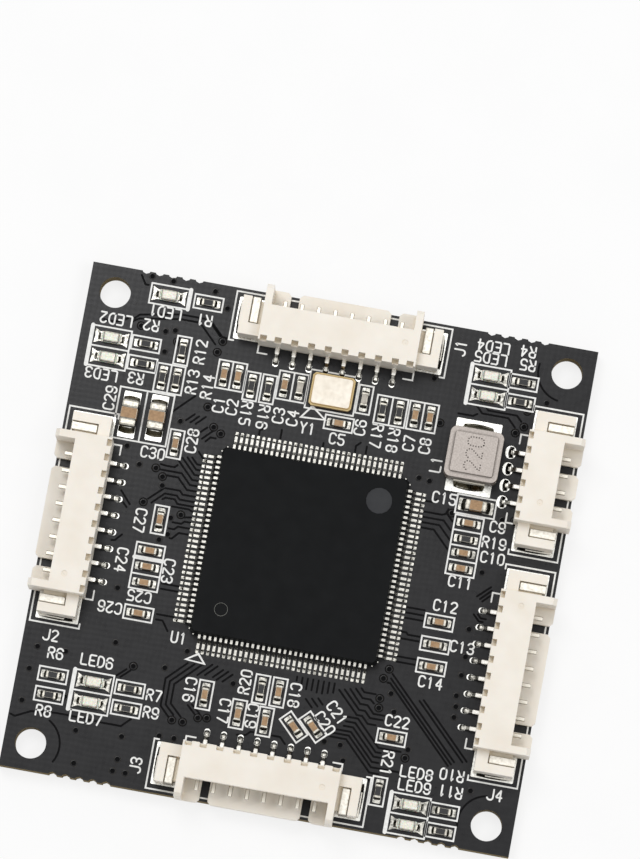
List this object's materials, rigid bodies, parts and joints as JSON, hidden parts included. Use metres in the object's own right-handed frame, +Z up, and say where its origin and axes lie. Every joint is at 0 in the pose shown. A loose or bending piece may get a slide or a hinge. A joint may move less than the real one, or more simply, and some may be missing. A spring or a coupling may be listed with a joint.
{
  "type": "ethernet switch module",
  "caption": "Square circuit-board network switch module with a large flat chip, shrouded edge headers for ports and power, and corner mounting holes.",
  "frame": {"origin": "middle of the circuit board's underside", "axes": "+X to the board's right, +Y to the board's top edge, +Z up out of the component side"},
  "size_m": [0.0384, 0.0384, 0.005],
  "materials": {
    "solder_mask": "satin black solder mask on glass-epoxy laminate",
    "chip_moulding": "matte moulded epoxy",
    "tinned_metal": "bright tin plating",
    "header_nylon": "moulded natural nylon",
    "crystal_ceramic": "fired ceramic with a plated rim",
    "gold_plate": "pale gold plated lid",
    "pressed_iron_powder": "pressed and coated powder",
    "led_resin": "clear yellowish resin",
    "resistor_glaze": "black glaze with tinned ends",
    "capacitor_ceramic": "fired brown ceramic with tinned ends"
  },
  "bodies": {
    "root": {"circuit_board": "solder_mask", "crystal_base": "crystal_ceramic", "crystal_lid": "gold_plate", "east_capacitors": "capacitor_ceramic", "east_port_contacts": "tinned_metal", "east_port_housing": "header_nylon", "east_port_nails": "tinned_metal", "filter_capacitor": "capacitor_ceramic", "inductor_core": "pressed_iron_powder", "inductor_terminals": "tinned_metal", "led_1": "led_resin", "led_2": "led_resin", "led_3": "led_resin", "led_4": "led_resin", "led_5": "led_resin", "led_6": "led_resin", "led_7": "led_resin", "led_8": "led_resin", "led_9": "led_resin", "north_capacitors": "capacitor_ceramic", "north_port_contacts": "tinned_metal", "north_port_housing": "header_nylon", "north_port_nails": "tinned_metal", "power_inlet_contacts": "tinned_metal", "power_inlet_housing": "header_nylon", "power_inlet_nails": "tinned_metal", "resistor_1": "resistor_glaze", "resistor_10": "resistor_glaze", "resistor_11": "resistor_glaze", "resistor_12": "resistor_glaze", "resistor_13": "resistor_glaze", "resistor_14": "resistor_glaze", "resistor_15": "resistor_glaze", "resistor_16": "resistor_glaze", "resistor_17": "resistor_glaze", "resistor_18": "resistor_glaze", "resistor_19": "resistor_glaze", "resistor_2": "resistor_glaze", "resistor_20": "resistor_glaze", "resistor_21": "resistor_glaze", "resistor_3": "resistor_glaze", "resistor_4": "resistor_glaze", "resistor_5": "resistor_glaze", "resistor_6": "resistor_glaze", "resistor_7": "resistor_glaze", "resistor_8": "resistor_glaze", "resistor_9": "resistor_glaze", "south_capacitors": "capacitor_ceramic", "south_port_contacts": "tinned_metal", "south_port_housing": "header_nylon", "south_port_nails": "tinned_metal", "supply_capacitor_1": "capacitor_ceramic", "supply_capacitor_2": "capacitor_ceramic", "switch_chip_body": "chip_moulding", "switch_chip_leads": "tinned_metal", "west_capacitors": "capacitor_ceramic", "west_port_contacts": "tinned_metal", "west_port_housing": "header_nylon", "west_port_nails": "tinned_metal"}
  },
  "joints": []
}
